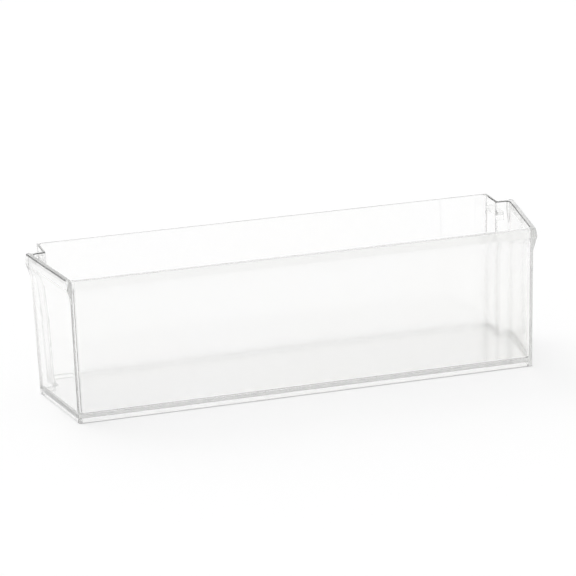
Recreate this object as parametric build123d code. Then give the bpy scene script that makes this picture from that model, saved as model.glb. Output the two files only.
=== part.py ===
from build123d import *
from math import cos, radians, tan, atan
import os

# Fridge door shelf: one clear moulded bin, open at the top, that hangs on two lugs of the door.
# Millimetres, +Z up, front towards -Y, origin under the middle of the overall box.

# Plan sizes, outside the walls at the rim; the neck steps in on each side
FRONT_WIDTH = 432.2
REAR_WIDTH = 464.4
NECK_STEP = 13.5
BODY_DEPTH = 130.0
NECK_DEPTH = 29.8

# Upright sizes
HEIGHT = 132.8
FOOT_HEIGHT = 4.0
FLOOR_THICKNESS = 2.8

# Wall thickness, and how far each wall leans in towards the foot, in degrees
WALL = 2.3
FOOT_WIDTH = 2.6
FRONT_DRAFT = 0.9
SIDE_DRAFT = 0.8
STEP_DRAFT = 1.7
NECK_DRAFT = 1.1
BACK_DRAFT = 0.9

# Corner radii outside and inside, the sweep where the floor meets the walls, and the fillet under the floor
FRONT_CORNER = 0.6
REAR_CORNER = 0.6
NECK_CORNER = 0.6
STEP_CORNER = 0.6
INNER_CORNER = 4.4
FLOOR_FILLET = 3.4
FOOT_FILLET = 1.2
RIM_EDGE = 0.5
RIM_INNER_EDGE = 1.2
FOOT_EDGE = 0.5

# Bead round the rim of the front and the sides: it swells to a ridge, then tapers back to the wall
BEAD_PROUD = 3.8
BEAD_TOP_PROUD = 2.4
BEAD_RIDGE_DROP = 8.2
BEAD_TAPER = 14.0
BEAD_EAR_WIDTH = 1.0
BEAD_TOP_EDGE = 1.4
BEAD_RIDGE_EDGE = 0.6

# Hangers in the stepped rear corners: a ledge with a leg at each end
HANGER_DROP = 10.6
HANGER_THICKNESS = 3.8
HANGER_REACH = 6.0
HANGER_LEG_HEIGHT = 4.4
HANGER_LEG_THICKNESS = 2.4
HANGER_BACK_GAP = 1.5

# Overlap that lets joined and cut shapes pass through each other
OVERLAP = 1.0

FRONT_Y = -BODY_DEPTH / 2
BACK_Y = FRONT_Y + BODY_DEPTH
STEP_Y = BACK_Y - NECK_DEPTH
SPLAY_SLOPE = (REAR_WIDTH - FRONT_WIDTH) / 2 / (STEP_Y - FRONT_Y)
SPLAY_COS = cos(atan(SPLAY_SLOPE))
FLOOR_TOP = FOOT_HEIGHT + FLOOR_THICKNESS
OUTER_RADII = [FRONT_CORNER, REAR_CORNER, STEP_CORNER, NECK_CORNER]
INNER_RADII = [INNER_CORNER, INNER_CORNER, STEP_CORNER + WALL, INNER_CORNER]


def lean(draft, z):
    """How far a wall has moved in at height z."""
    return (HEIGHT - z) * tan(radians(draft))


def front_y(z, inset=0.0):
    return FRONT_Y + lean(FRONT_DRAFT, z) + inset


def step_y(z, inset=0.0):
    return STEP_Y - lean(STEP_DRAFT, z) - inset


def back_y(z, inset=0.0):
    return BACK_Y - lean(BACK_DRAFT, z) - inset


def neck_x(z, inset=0.0):
    return REAR_WIDTH / 2 - NECK_STEP - lean(NECK_DRAFT, z) - inset


def side_x(y, z, inset=0.0):
    at_rim = FRONT_WIDTH / 2 + SPLAY_SLOPE * (y - FRONT_Y)
    return at_rim - (lean(SIDE_DRAFT, z) + inset) / SPLAY_COS


def mirrored_face(right_half, radii, z):
    """Closed face at height z from the right half's corners, front to back, with rounded corners."""
    left_half = [(-x, y) for x, y in reversed(right_half)]
    points = [(x, y, z) for x, y in right_half + left_half]
    outline = FilletPolyline(*points, radius=radii + radii[::-1], close=True)
    return make_face(outline)


def plan(z, inset, radii):
    """The bin's outline at height z, moved inwards by inset, with the radii of its corners, front to back."""
    front, step, back = front_y(z, inset), step_y(z, inset), back_y(z, inset)
    neck = neck_x(z, inset)
    right_half = [(side_x(front, z, inset), front), (side_x(step, z, inset), step), (neck, step), (neck, back)]
    return mirrored_face(right_half, radii, z)


def drafted_block(bottom, top, inset, radii):
    """Block between two heights whose walls lean as the bin's do."""
    return loft([plan(bottom, inset, radii), plan(top, inset, radii)], ruled=True)


def bead_plan(z, proud):
    """The wide part's outline at height z, moved outwards by proud."""
    front, rear = front_y(z, -proud), step_y(z, -proud)
    right_half = [(side_x(front, z, -proud), front), (side_x(rear, z, -proud), rear)]
    return mirrored_face(right_half, [FRONT_CORNER + proud, REAR_CORNER + proud], z)


def outer_block():
    """The bin's outside, with rounded edges at the rim and the foot."""
    block = drafted_block(0, HEIGHT, 0, OUTER_RADII)
    block = fillet(block.edges().group_by(Axis.Z)[-1], RIM_EDGE)
    return fillet(block.edges().group_by(Axis.Z)[0], FOOT_EDGE)


def rim_bead():
    """Ring of the bead on the front and the sides, ending in an ear at each rear corner."""
    ridge = HEIGHT - BEAD_RIDGE_DROP
    taper = loft([bead_plan(ridge - BEAD_TAPER, 0), bead_plan(ridge, BEAD_PROUD)], ruled=True)
    crest = loft([bead_plan(ridge, BEAD_PROUD), bead_plan(HEIGHT, BEAD_TOP_PROUD)], ruled=True)
    bead = fillet(crest.edges().group_by(Axis.Z)[-1], BEAD_TOP_EDGE) + taper
    ridge_edges = bead.edges().filter_by(lambda edge: abs(edge.center().Z - ridge) < OVERLAP / 10)
    bead = fillet(ridge_edges, BEAD_RIDGE_EDGE)
    ear_start = side_x(STEP_Y, HEIGHT) - BEAD_EAR_WIDTH
    behind = Box(2 * ear_start, 2 * NECK_DEPTH, 2 * HEIGHT, align=(Align.CENTER, Align.MIN, Align.CENTER))
    bead -= behind.moved(Location((0, STEP_Y - WALL, HEIGHT)))
    flat_middle = (RIM_EDGE + WALL - RIM_INNER_EDGE) / 2
    return bead - drafted_block(ridge - BEAD_TAPER - OVERLAP, HEIGHT + OVERLAP, flat_middle, INNER_RADII)


def cavity():
    """Inside of the bin, with a rounded sweep between floor and walls."""
    space = drafted_block(FLOOR_TOP, HEIGHT + OVERLAP, WALL, INNER_RADII)
    floor_edges = space.edges().group_by(Axis.Z)[0]
    return fillet(floor_edges, FLOOR_FILLET)


def foot_recess():
    """Space under the floor, inside the foot rim, with a fillet along its top."""
    space = drafted_block(-OVERLAP, FOOT_HEIGHT, FOOT_WIDTH, INNER_RADII)
    return fillet(space.edges().group_by(Axis.Z)[-1], FOOT_FILLET)


def hanger():
    """Right-hand hanger: a ledge that rests on the door's lug, with a leg at each end."""
    top = HEIGHT - HANGER_DROP
    ledge_bottom = top - HANGER_THICKNESS
    leg_bottom = ledge_bottom - HANGER_LEG_HEIGHT
    inner = neck_x(leg_bottom, OVERLAP)
    outer = neck_x(top) + HANGER_REACH
    front = step_y(leg_bottom, OVERLAP)
    back = back_y(leg_bottom) - HANGER_BACK_GAP
    corner = (Align.MIN, Align.MIN, Align.MIN)
    ledge = Box(outer - inner, back - front, HANGER_THICKNESS, align=corner)
    ledge = ledge.moved(Location((inner, front, ledge_bottom)))
    front_leg = Box(outer - inner, HANGER_LEG_THICKNESS + OVERLAP, top - leg_bottom, align=corner)
    front_leg = front_leg.moved(Location((inner, front, leg_bottom)))
    back_leg = Box(outer - inner, HANGER_LEG_THICKNESS, top - leg_bottom, align=corner)
    back_leg = back_leg.moved(Location((inner, back - HANGER_LEG_THICKNESS, leg_bottom)))
    return ledge + front_leg + back_leg


def door_shelf():
    """The whole moulding: the shell with its rim rounded inside, the bead and the hangers."""
    shell = outer_block() - cavity() - foot_recess()
    rim = shell.faces().sort_by(Axis.Z)[-1]
    shell = fillet(rim.inner_wires().edges(), RIM_INNER_EDGE)
    right_hanger = hanger()
    return shell + rim_bead() + right_hanger + mirror(right_hanger, about=Plane.YZ)


os.makedirs("parts", exist_ok=True)
shelf = door_shelf()
shelf = shelf.moved(Location((0, -shelf.bounding_box().center().Y, 0)))
shelf.label = "door_shelf"
export_step(shelf, "parts/door_shelf.step")
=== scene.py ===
import math

import bpy
from bpy.props import FloatProperty, FloatVectorProperty, PointerProperty
from mathutils import Matrix, Vector

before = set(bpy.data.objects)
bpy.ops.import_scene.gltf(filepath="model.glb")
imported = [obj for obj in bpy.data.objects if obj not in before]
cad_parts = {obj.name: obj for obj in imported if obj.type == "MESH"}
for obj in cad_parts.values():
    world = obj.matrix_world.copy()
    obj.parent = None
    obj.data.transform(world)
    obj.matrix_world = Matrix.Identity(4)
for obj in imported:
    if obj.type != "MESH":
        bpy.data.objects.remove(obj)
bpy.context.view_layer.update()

bl_info = {
    "name": "Clear Door Shelf",
    "version": (1, 0, 0),
    "blender": (4, 5, 0),
    "location": "View3D > Sidebar > Door Shelf",
    "description": "Dresses a moulded fridge door shelf as clear plastic and sets up its white stage",
    "category": "Object",
}

SHELF_NODE = "door_shelf"

# Directions in the shelf's own frame
UP, DOWN = (0, 0, 1), (0, 0, -1)
FRONT, BACK = (0, -1, 0), (0, 1, 0)
RIGHT = (1, 0, 0)
FRONT_RIGHT, FRONT_LEFT = (0.707, -0.707, 0), (-0.707, -0.707, 0)

# Masks: places are metres along a direction, and turns are cosines between a face's normal and a direction.
# This is how wide a mask's border is where nothing else is given.
MASK_FADE = 0.0004

# Satin band: its tint is a painted grey shade that grows from left to right, from this place and over this length
BAND_GROWS_FROM, BAND_GROWS_OVER = -0.3, 0.4

# Roundings of the rim, where dark shade is painted: faces turned up by this much, but not the flat top, behind the
# front rim and before the back
ROUND_START, ROUND_FULL = 0.05, 0.3
FLAT_START, FLAT_FULL = 0.99, 0.9
RIM_FROM, RIM_FROM_FADE = -0.062, 0.004
RIM_TO = 0.058

# Front corners, where dark shade is painted: faces turned to the diagonal by this much, this far in front of the
# middle
CORNER_START, CORNER_FULL = 0.96, 0.99
CORNER_FRONT = 0.055

# Bin floor: what faces up below this height
FLOOR_ZONE = 0.02

# Front wall: faces turned to the front or the back by this much, this far to the front and above the floor's sweep
WALL_START, WALL_FULL = 0.9, 0.97
WALL_FRONT = 0.057
WALL_LOW, WALL_LOW_FADE = 0.0095, 0.002

# Foot: what lies below this height touches the table
FOOT_TOUCH = 0.0002

# Slow drift over a surface: the noise's detail, the part of its range in use, and its scale for each use
DRIFT_DETAIL = 3.0
DRIFT_LOW, DRIFT_HIGH = 0.3, 0.7
TINT_SCALE, HAZE_SCALE, RIPPLE_SCALE, TABLE_SCALE = 7.0, 45.0, 24.0, 3.0

# Normals of the moulding
MERGE_DISTANCE = 0.000001
SHARP_ANGLE = math.radians(30.0)

# Table: half its side, how far it lies below the foot, and its roughness
TABLE_HALF = 12.0
TABLE_DROP = 0.0003
TABLE_ROUGH_LOW, TABLE_ROUGH_HIGH = 0.85, 0.95

# Studio: where the backdrop starts and is full, as the Y of a ray's direction, and the ceiling, as its Z
BACKDROP_START, BACKDROP_FULL = 0.6, 0.85
ZENITH_START, ZENITH_FULL = 0.36, 0.55
WHITE = (1, 1, 1, 1)

# Lamp: the way its light goes, and how wide it is
KEY_WAY = (0.5, -1.2, -1.0)
KEY_ANGLE = math.radians(50.0)

SENSOR_WIDTH = 36.0
GLASS_BOUNCES, VOLUME_BOUNCES, SHADOW_BOUNCES = 200, 2, 32


class ClearPlasticSettings(bpy.types.PropertyGroup):
    """Finish of the moulding"""

    clear_tint: FloatVectorProperty(
        name="Clear tint", description="Colour that most of the plastic lets through", subtype="COLOR",
        size=4, min=0.0, max=1.0, default=(1.0, 1.0, 1.0, 1.0))
    warm_tint: FloatVectorProperty(
        name="Warm tint", description="Faint cream cast that comes and goes over the walls", subtype="COLOR",
        size=4, min=0.0, max=1.0, default=(1.0, 0.999, 0.992, 1.0))
    shadow_tint: FloatVectorProperty(
        name="Shadow tint", description="Light that each face lets through to the table", subtype="COLOR",
        size=4, min=0.0, max=1.0, default=(0.997, 0.997, 0.997, 1.0))
    contact_tint: FloatVectorProperty(
        name="Contact tint", description="Light that reaches the table right under the foot", subtype="COLOR",
        size=4, min=0.0, max=1.0, default=(0.3, 0.3, 0.3, 1.0))
    # Painted shade: a grey tint that darkens the satin band, more towards the right
    painted_band_shade: FloatVectorProperty(
        name="Band tint", description="Colour of the satin band along the front rim", subtype="COLOR",
        size=4, min=0.0, max=1.0, default=(0.95, 0.95, 0.94, 1.0))
    band_haze: FloatProperty(
        name="Band haze", description="Roughness of the satin band", subtype="FACTOR", min=0.0, max=1.0,
        default=0.22)
    band_low: FloatProperty(
        name="Band height", description="Where the satin band starts, above the table", subtype="DISTANCE",
        default=0.1246)
    band_front: FloatProperty(
        name="Band front", description="How far in front of the middle the satin band lies", subtype="DISTANCE",
        default=0.0650)
    # Painted shade: near-black colour on the rim's rounded edges and the front corners, standing in for the dark
    # lines that bent light shows there
    painted_edge_shade: FloatVectorProperty(
        name="Edge tint", description="Colour of the rim's rounded edges and of the front corners", subtype="COLOR",
        size=4, min=0.0, max=1.0, default=(0.05, 0.05, 0.05, 1.0))
    edge_low: FloatProperty(
        name="Edge height", description="Where the rounded edges of the rim start, above the table",
        subtype="DISTANCE", default=0.1312)
    # Share of the painted edge shade that the front corners take
    corner_share: FloatProperty(
        name="Corner share", description="How much of the edge tint the sharp front corners take",
        subtype="FACTOR", min=0.0, max=1.0, default=0.9)
    depth_colour: FloatVectorProperty(
        name="Depth colour", description="Cast of the light that has gone far through the plastic", subtype="COLOR",
        size=4, min=0.0, max=1.0, default=(0.45, 0.46, 0.44, 1.0))
    depth_density: FloatProperty(
        name="Depth density", description="How soon light fades on its way through the plastic, per metre",
        min=0.0, max=50.0, default=5.0)
    cloud: FloatProperty(
        name="Cloud", description="How much light the depth of the plastic scatters, per metre", min=0.0,
        max=50.0, default=6.0)
    floor_haze: FloatProperty(
        name="Floor haze", description="Roughness of the bin's floor", subtype="FACTOR", min=0.0, max=1.0,
        default=0.02)
    front_haze: FloatProperty(
        name="Front haze", description="Roughness of the front wall, which softens what lies behind it",
        subtype="FACTOR", min=0.0, max=1.0, default=0.13)
    bend: FloatProperty(
        name="Refraction", description="How strongly the plastic bends light", min=1.0, max=2.0, default=1.58)
    haze: FloatProperty(
        name="Haze", description="Roughness where handling has dulled the gloss", subtype="FACTOR",
        min=0.0, max=0.14, default=0.035)
    ripple: FloatProperty(
        name="Ripple", description="Height of the slow waves that moulding leaves", subtype="DISTANCE",
        min=0.0, max=0.001, default=0.00004)


class StageSettings(bpy.types.PropertyGroup):
    """Floor, light and camera"""

    floor_colour: FloatVectorProperty(
        name="Floor colour", description="Colour of the table", subtype="COLOR", size=4, min=0.0, max=1.0,
        default=(0.94, 0.94, 0.94, 1.0))
    sky: FloatProperty(
        name="Sky", description="Strength of the light from all round", min=0.0, max=2.0, default=0.25)
    key: FloatProperty(
        name="Key", description="Strength of the soft lamp behind the shelf", min=0.0, max=10.0, default=4.23)
    room: FloatProperty(
        name="Room", description="Grey of the room at the sides, as the plastic shows it", subtype="FACTOR",
        min=0.0, max=1.0, default=0.45)
    backdrop: FloatProperty(
        name="Backdrop", description="Grey of the lit backdrop, as the plastic shows it", subtype="FACTOR",
        min=0.0, max=1.0, default=1.0)
    zenith: FloatProperty(
        name="Zenith", description="Grey of the studio's ceiling, as the plastic shows it", subtype="FACTOR",
        min=0.0, max=1.0, default=0.65)
    azimuth: FloatProperty(
        name="Azimuth", description="Camera's turn round the shelf", subtype="ANGLE",
        default=math.radians(-15.984))
    elevation: FloatProperty(
        name="Elevation", description="Camera's height above the horizon", subtype="ANGLE",
        default=math.radians(16.93))
    roll: FloatProperty(
        name="Roll", description="Camera's tilt about its own axis", subtype="ANGLE", default=math.radians(-1.95))
    distance: FloatProperty(
        name="Distance", description="From the camera to the aim", subtype="DISTANCE", default=2.65375)
    lens: FloatProperty(name="Lens", description="Focal length in millimetres", default=180.425)
    aim: FloatVectorProperty(
        name="Aim", description="Point in the middle of the picture", subtype="TRANSLATION",
        default=(0.00149, 0.00615, 0.08133))


def new_tree(owner):
    """Empty node tree of a material or a world."""
    owner.use_nodes = True
    owner.node_tree.nodes.clear()
    return owner.node_tree


def feed(tree, source, socket):
    """Link another node's output to a socket, or set the socket to a plain value."""
    if isinstance(source, bpy.types.NodeSocket):
        tree.links.new(source, socket)
    else:
        socket.default_value = source


def calculate(tree, operation, first, second, clamp=False):
    """Math node of two outputs or numbers."""
    node = tree.nodes.new("ShaderNodeMath")
    node.operation = operation
    node.use_clamp = clamp
    feed(tree, first, node.inputs[0])
    feed(tree, second, node.inputs[1])
    return node.outputs["Value"]


def either(tree, first, second):
    """Mask that is 1 where one of two masks is."""
    return calculate(tree, "MAXIMUM", first, second)


def all_of(tree, mask, *others):
    """Mask that is 1 where all the masks are."""
    for other in others:
        mask = calculate(tree, "MULTIPLY", mask, other)
    return mask


def mix(tree, kind, factor, first, second):
    """Mix node, FLOAT or RGBA, from the first output or value to the second."""
    node = tree.nodes.new("ShaderNodeMix")
    node.data_type = kind
    feed(tree, factor, node.inputs["Factor"])
    feed(tree, first, node.inputs["A"])
    feed(tree, second, node.inputs["B"])
    return node.outputs["Result"]


def ramp(tree, value, start, full, low=0.0, high=1.0):
    """Value that goes from low to high as another goes from start to full."""
    node = tree.nodes.new("ShaderNodeMapRange")
    feed(tree, value, node.inputs["Value"])
    feed(tree, start, node.inputs["From Min"])
    feed(tree, full, node.inputs["From Max"])
    feed(tree, low, node.inputs["To Min"])
    feed(tree, high, node.inputs["To Max"])
    return node.outputs["Result"]


def reach(tree, coordinate, direction):
    """How far a texture coordinate reaches along a direction."""
    place = tree.nodes.new("ShaderNodeTexCoord")
    along = tree.nodes.new("ShaderNodeVectorMath")
    along.operation = "DOT_PRODUCT"
    tree.links.new(place.outputs[coordinate], along.inputs[0])
    tree.links.new(direction, along.inputs[1])
    return along.outputs["Value"]


def shader_group(name, inputs, output):
    """Shader node group with its sockets: a vector for a Direction, and numbers for the rest."""
    group = bpy.data.node_groups.new(name, "ShaderNodeTree")
    for label in inputs:
        kind = "NodeSocketVector" if label == "Direction" else "NodeSocketFloat"
        group.interface.new_socket(label, in_out="INPUT", socket_type=kind)
    group.interface.new_socket(output, in_out="OUTPUT", socket_type="NodeSocketFloat")
    given = group.nodes.new("NodeGroupInput").outputs
    result = group.nodes.new("NodeGroupOutput").inputs[output]
    return group, given, result


def soft_variation():
    """Node group: a value that drifts slowly over a surface between two limits."""
    group, given, result = shader_group("soft_variation", ("Scale", "Low", "High"), "Value")
    place = group.nodes.new("ShaderNodeTexCoord")
    noise = group.nodes.new("ShaderNodeTexNoise")
    noise.inputs["Detail"].default_value = DRIFT_DETAIL
    group.links.new(place.outputs["Object"], noise.inputs["Vector"])
    group.links.new(given["Scale"], noise.inputs["Scale"])
    drift = ramp(group, noise.outputs["Fac"], DRIFT_LOW, DRIFT_HIGH, given["Low"], given["High"])
    group.links.new(drift, result)
    return group


def past_plane():
    """Node group: a mask that is 1 past a plane across the given direction."""
    group, given, result = shader_group("past_plane", ("Direction", "Start", "Fade"), "Mask")
    full = calculate(group, "ADD", given["Start"], given["Fade"])
    group.links.new(ramp(group, reach(group, "Object", given["Direction"]), given["Start"], full), result)
    return group


def facing_way():
    """Node group: a mask that grows from 0 to 1 as a surface turns to face the given direction."""
    group, given, result = shader_group("facing_way", ("Direction", "Start", "Full"), "Mask")
    group.links.new(ramp(group, reach(group, "Normal", given["Direction"]), given["Start"], given["Full"]), result)
    return group


def use(tree, group, **values):
    """Place a node group in a material with its own values."""
    node = tree.nodes.new("ShaderNodeGroup")
    node.node_tree = group
    for label, value in values.items():
        node.inputs[label].default_value = value
    return node.outputs[0]


def vary(tree, drift, scale, low, high):
    return use(tree, drift, Scale=scale, Low=low, High=high)


def past(tree, planes, direction, start, fade=MASK_FADE):
    return use(tree, planes, Direction=direction, Start=start, Fade=fade)


def facing(tree, ways, direction, start, full):
    return use(tree, ways, Direction=direction, Start=start, Full=full)


def even_normals():
    """Geometry nodes: join the faces of the moulding and leave only its real edges sharp."""
    group = bpy.data.node_groups.new("even_normals", "GeometryNodeTree")
    group.interface.new_socket("Geometry", in_out="INPUT", socket_type="NodeSocketGeometry")
    group.interface.new_socket("Geometry", in_out="OUTPUT", socket_type="NodeSocketGeometry")
    inlet = group.nodes.new("NodeGroupInput")
    outlet = group.nodes.new("NodeGroupOutput")
    merge = group.nodes.new("GeometryNodeMergeByDistance")
    merge.inputs["Distance"].default_value = MERGE_DISTANCE
    angle = group.nodes.new("GeometryNodeInputMeshEdgeAngle")
    sharp = group.nodes.new("FunctionNodeCompare")
    sharp.operation = "GREATER_THAN"
    sharp.inputs["B"].default_value = SHARP_ANGLE
    normals = group.nodes.new("GeometryNodeSetMeshNormal")
    normals.mode = "SHARPNESS"
    group.links.new(inlet.outputs["Geometry"], merge.inputs["Geometry"])
    group.links.new(merge.outputs["Geometry"], normals.inputs["Mesh"])
    group.links.new(angle.outputs["Unsigned Angle"], sharp.inputs["A"])
    group.links.new(sharp.outputs["Result"], normals.inputs["Edge Sharpness"])
    group.links.new(normals.outputs["Mesh"], outlet.inputs["Geometry"])
    return group


def band_mask(tree, settings, planes):
    """Satin band along the front rim: hazy, and tinted with a painted grey shade."""
    return all_of(tree, past(tree, planes, UP, settings.band_low), past(tree, planes, FRONT, settings.band_front))


def rim_shade_mask(tree, settings, planes, ways):
    """Rounded edges along the rim of the side walls and the stepped corners, where dark shade is painted."""
    return all_of(
        tree,
        facing(tree, ways, UP, ROUND_START, ROUND_FULL),
        facing(tree, ways, UP, FLAT_START, FLAT_FULL),
        past(tree, planes, UP, settings.edge_low),
        past(tree, planes, BACK, RIM_FROM, RIM_FROM_FADE),
        past(tree, planes, FRONT, -RIM_TO))


def corner_shade_mask(tree, settings, planes, ways):
    """Sharp upright corners of the front wall, below the band, where dark shade is painted."""
    turned = either(
        tree,
        facing(tree, ways, FRONT_RIGHT, CORNER_START, CORNER_FULL),
        facing(tree, ways, FRONT_LEFT, CORNER_START, CORNER_FULL))
    corner = all_of(
        tree, turned, past(tree, planes, FRONT, CORNER_FRONT), past(tree, planes, DOWN, -settings.band_low))
    return calculate(tree, "MULTIPLY", corner, settings.corner_share)


def floor_mask(tree, planes, ways):
    """Floor of the bin."""
    return all_of(tree, past(tree, planes, DOWN, -FLOOR_ZONE), facing(tree, ways, UP, ROUND_START, ROUND_FULL))


def wall_mask(tree, settings, planes, ways):
    """Both faces of the front wall, between the floor's sweep and the band."""
    turned = either(
        tree,
        facing(tree, ways, FRONT, WALL_START, WALL_FULL),
        facing(tree, ways, BACK, WALL_START, WALL_FULL))
    return all_of(
        tree,
        turned,
        past(tree, planes, FRONT, WALL_FRONT),
        past(tree, planes, UP, WALL_LOW, WALL_LOW_FADE),
        past(tree, planes, DOWN, -settings.band_low))


def shadow_light(tree, settings):
    """Light that the shelf lets through to the table, less of it right under the foot."""
    place = tree.nodes.new("ShaderNodeTexCoord")
    split = tree.nodes.new("ShaderNodeSeparateXYZ")
    tree.links.new(place.outputs["Object"], split.inputs["Vector"])
    foot = calculate(tree, "LESS_THAN", split.outputs["Z"], FOOT_TOUCH)
    passing = tree.nodes.new("ShaderNodeBsdfTransparent")
    tree.links.new(mix(tree, "RGBA", foot, settings.shadow_tint, settings.contact_tint), passing.inputs["Color"])
    return passing.outputs["BSDF"]


def plastic_depth(tree, settings):
    """Inside of the plastic, which dims light on its way and scatters a little of it."""
    depth = tree.nodes.new("ShaderNodeVolumeAbsorption")
    depth.inputs["Color"].default_value = settings.depth_colour
    depth.inputs["Density"].default_value = settings.depth_density
    cloud = tree.nodes.new("ShaderNodeVolumeScatter")
    cloud.inputs["Density"].default_value = settings.cloud
    both = tree.nodes.new("ShaderNodeAddShader")
    tree.links.new(depth.outputs["Volume"], both.inputs[0])
    tree.links.new(cloud.outputs["Volume"], both.inputs[1])
    return both.outputs["Shader"]


def clear_plastic(settings, drift, planes, ways):
    """Clear moulded plastic with a satin band in painted grey shade, painted dark shade on its edges and a slightly
    hazy front wall.
    """
    material = bpy.data.materials.new("clear_plastic")
    tree = new_tree(material)
    output = tree.nodes.new("ShaderNodeOutputMaterial")
    glass = tree.nodes.new("ShaderNodeBsdfPrincipled")
    glass.inputs["IOR"].default_value = settings.bend
    glass.inputs["Transmission Weight"].default_value = 1.0

    band = band_mask(tree, settings, planes)
    # Painted shade: the band's grey tint, growing from left to right; the band's haze below is its real satin
    # finish
    band_shade_share = all_of(tree, band, past(tree, planes, RIGHT, BAND_GROWS_FROM, BAND_GROWS_OVER))
    edges = either(tree, rim_shade_mask(tree, settings, planes, ways), corner_shade_mask(tree, settings, planes, ways))
    colour = mix(tree, "RGBA", vary(tree, drift, TINT_SCALE, 0.0, 1.0), settings.clear_tint, settings.warm_tint)
    colour = mix(tree, "RGBA", band_shade_share, colour, settings.painted_band_shade)
    # Painted shade: near-black on the rim's rounded edges and the front corners
    colour = mix(tree, "RGBA", edges, colour, settings.painted_edge_shade)
    tree.links.new(colour, glass.inputs["Base Color"])

    rough = mix(tree, "FLOAT", band, vary(tree, drift, HAZE_SCALE, 0.0, settings.haze), settings.band_haze)
    rough = mix(tree, "FLOAT", floor_mask(tree, planes, ways), rough, settings.floor_haze)
    rough = mix(tree, "FLOAT", wall_mask(tree, settings, planes, ways), rough, settings.front_haze)
    tree.links.new(rough, glass.inputs["Roughness"])

    bump = tree.nodes.new("ShaderNodeBump")
    bump.inputs["Distance"].default_value = settings.ripple
    tree.links.new(vary(tree, drift, RIPPLE_SCALE, 0.0, 1.0), bump.inputs["Height"])
    tree.links.new(bump.outputs["Normal"], glass.inputs["Normal"])

    path = tree.nodes.new("ShaderNodeLightPath")
    surface = tree.nodes.new("ShaderNodeMixShader")
    tree.links.new(path.outputs["Is Shadow Ray"], surface.inputs["Fac"])
    tree.links.new(glass.outputs["BSDF"], surface.inputs[1])
    tree.links.new(shadow_light(tree, settings), surface.inputs[2])
    tree.links.new(surface.outputs["Shader"], output.inputs["Surface"])
    tree.links.new(plastic_depth(tree, settings), output.inputs["Volume"])
    return material


class SHELF_OT_plastic(bpy.types.Operator):
    """Give the moulding its clear plastic"""

    bl_idname = "door_shelf.plastic"
    bl_label = "Clear Plastic"

    def execute(self, context):
        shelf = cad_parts[SHELF_NODE]
        material = clear_plastic(context.scene.door_shelf_plastic, soft_variation(), past_plane(), facing_way())
        shelf.data.materials.clear()
        shelf.data.materials.append(material)
        shelf.modifiers.new("even_normals", "NODES").node_group = even_normals()
        weighted = shelf.modifiers.new("weighted_normals", "WEIGHTED_NORMAL")
        weighted.mode = "FACE_AREA"
        weighted.keep_sharp = True
        return {"FINISHED"}


def table_white(settings, drift):
    """Matt white of the table."""
    material = bpy.data.materials.new("table_white")
    tree = new_tree(material)
    output = tree.nodes.new("ShaderNodeOutputMaterial")
    matte = tree.nodes.new("ShaderNodeBsdfPrincipled")
    matte.inputs["Specular IOR Level"].default_value = 0.0
    matte.inputs["Base Color"].default_value = settings.floor_colour
    rough = vary(tree, drift, TABLE_SCALE, TABLE_ROUGH_LOW, TABLE_ROUGH_HIGH)
    tree.links.new(rough, matte.inputs["Roughness"])
    tree.links.new(matte.outputs["BSDF"], output.inputs["Surface"])
    return material


def make_floor(settings, drift):
    half = TABLE_HALF
    mesh = bpy.data.meshes.new("floor")
    mesh.from_pydata([(-half, -half, 0), (half, -half, 0), (half, half, 0), (-half, half, 0)], [], [(0, 1, 2, 3)])
    mesh.materials.append(table_white(settings, drift))
    floor = bpy.data.objects.new("floor", mesh)
    floor.location.z = -TABLE_DROP
    bpy.context.scene.collection.objects.link(floor)


def make_world(settings):
    """White to the camera, a studio to the plastic and an even sky to the table."""
    world = bpy.data.worlds.new("studio")
    bpy.context.scene.world = world
    tree = new_tree(world)
    output = tree.nodes.new("ShaderNodeOutputWorld")
    light = tree.nodes.new("ShaderNodeBackground")
    coords = tree.nodes.new("ShaderNodeTexCoord")
    split = tree.nodes.new("ShaderNodeSeparateXYZ")
    tree.links.new(coords.outputs["Generated"], split.inputs["Vector"])
    behind = ramp(tree, split.outputs["Y"], BACKDROP_START, BACKDROP_FULL, settings.room, settings.backdrop)
    above = ramp(tree, split.outputs["Z"], ZENITH_START, ZENITH_FULL)
    around = mix(tree, "FLOAT", above, behind, settings.zenith)

    path = tree.nodes.new("ShaderNodeLightPath")
    seen = either(tree, path.outputs["Is Glossy Ray"], path.outputs["Is Transmission Ray"])
    before_table = calculate(tree, "SUBTRACT", seen, path.outputs["Diffuse Depth"], clamp=True)
    studio = mix(tree, "RGBA", before_table, (settings.sky, settings.sky, settings.sky, 1), around)
    shown = mix(tree, "RGBA", path.outputs["Is Camera Ray"], studio, WHITE)
    tree.links.new(shown, light.inputs["Color"])
    tree.links.new(light.outputs["Background"], output.inputs["Surface"])


def make_key(settings):
    """Soft lamp above and behind the shelf, to the left, that the plastic itself doesn't show."""
    data = bpy.data.lights.new("key", "SUN")
    data.energy = settings.key
    data.angle = KEY_ANGLE
    key = bpy.data.objects.new("key", data)
    key.rotation_euler = Vector(KEY_WAY).to_track_quat("-Z", "Y").to_euler()
    key.visible_glossy = False
    key.visible_transmission = False
    bpy.context.scene.collection.objects.link(key)


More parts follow.
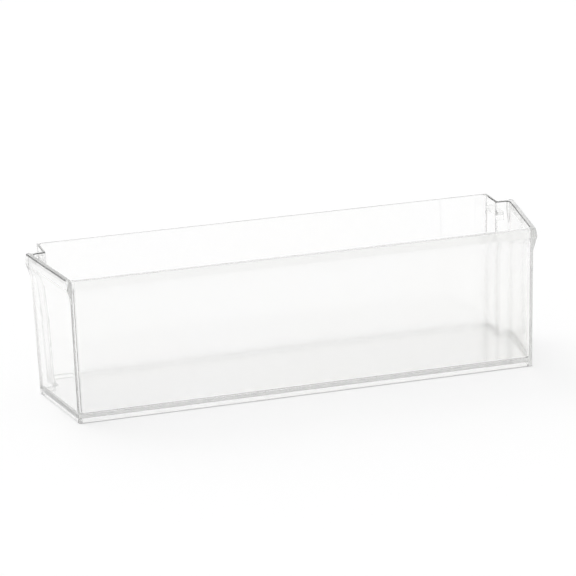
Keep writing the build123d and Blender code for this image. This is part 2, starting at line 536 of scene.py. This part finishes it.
def make_camera(settings):
    data = bpy.data.cameras.new("camera")
    camera = bpy.data.objects.new("camera", data)
    bpy.context.scene.collection.objects.link(camera)
    bpy.context.scene.camera = camera
    data.lens = settings.lens
    data.sensor_width = SENSOR_WIDTH
    turn, lift = settings.azimuth, settings.elevation
    back = Vector((math.sin(turn) * math.cos(lift), -math.cos(turn) * math.cos(lift), math.sin(lift)))
    level = Vector((math.cos(turn), math.sin(turn), 0.0))
    upright = back.cross(level)
    right = math.cos(settings.roll) * level + math.sin(settings.roll) * upright
    up = -math.sin(settings.roll) * level + math.cos(settings.roll) * upright
    place = Matrix((right, up, back)).transposed().to_4x4()
    place.translation = Vector(settings.aim) + back * settings.distance
    camera.matrix_world = place


class SHELF_OT_stage(bpy.types.Operator):
    """Set up the white floor, the soft light and the camera"""

    bl_idname = "door_shelf.stage"
    bl_label = "White Stage"

    def execute(self, context):
        scene = context.scene
        scene.view_settings.view_transform = "Standard"
        scene.cycles.max_bounces = GLASS_BOUNCES
        scene.cycles.transmission_bounces = GLASS_BOUNCES
        scene.cycles.glossy_bounces = GLASS_BOUNCES
        scene.cycles.volume_bounces = VOLUME_BOUNCES
        scene.cycles.transparent_max_bounces = SHADOW_BOUNCES
        settings = scene.door_shelf_stage
        make_floor(settings, bpy.data.node_groups["soft_variation"])
        make_world(settings)
        make_key(settings)
        make_camera(settings)
        return {"FINISHED"}


class SHELF_PT_panel(bpy.types.Panel):
    """Sidebar panel of the door shelf"""

    bl_label = "Door Shelf"
    bl_idname = "SHELF_PT_panel"
    bl_space_type = "VIEW_3D"
    bl_region_type = "UI"
    bl_category = "Door Shelf"

    def draw(self, context):
        scene = context.scene
        for settings, operator in ((scene.door_shelf_plastic, "door_shelf.plastic"),
                                   (scene.door_shelf_stage, "door_shelf.stage")):
            box = self.layout.box()
            for name in type(settings).__annotations__:
                box.prop(settings, name)
            box.operator(operator)


CLASSES = (ClearPlasticSettings, StageSettings, SHELF_OT_plastic, SHELF_OT_stage, SHELF_PT_panel)


def register():
    for item in CLASSES:
        bpy.utils.register_class(item)
    bpy.types.Scene.door_shelf_plastic = PointerProperty(type=ClearPlasticSettings)
    bpy.types.Scene.door_shelf_stage = PointerProperty(type=StageSettings)


def unregister():
    del bpy.types.Scene.door_shelf_stage
    del bpy.types.Scene.door_shelf_plastic
    for item in reversed(CLASSES):
        bpy.utils.unregister_class(item)


def main():
    register()
    bpy.ops.door_shelf.plastic()
    bpy.ops.door_shelf.stage()


if __name__ == "__main__":
    main()
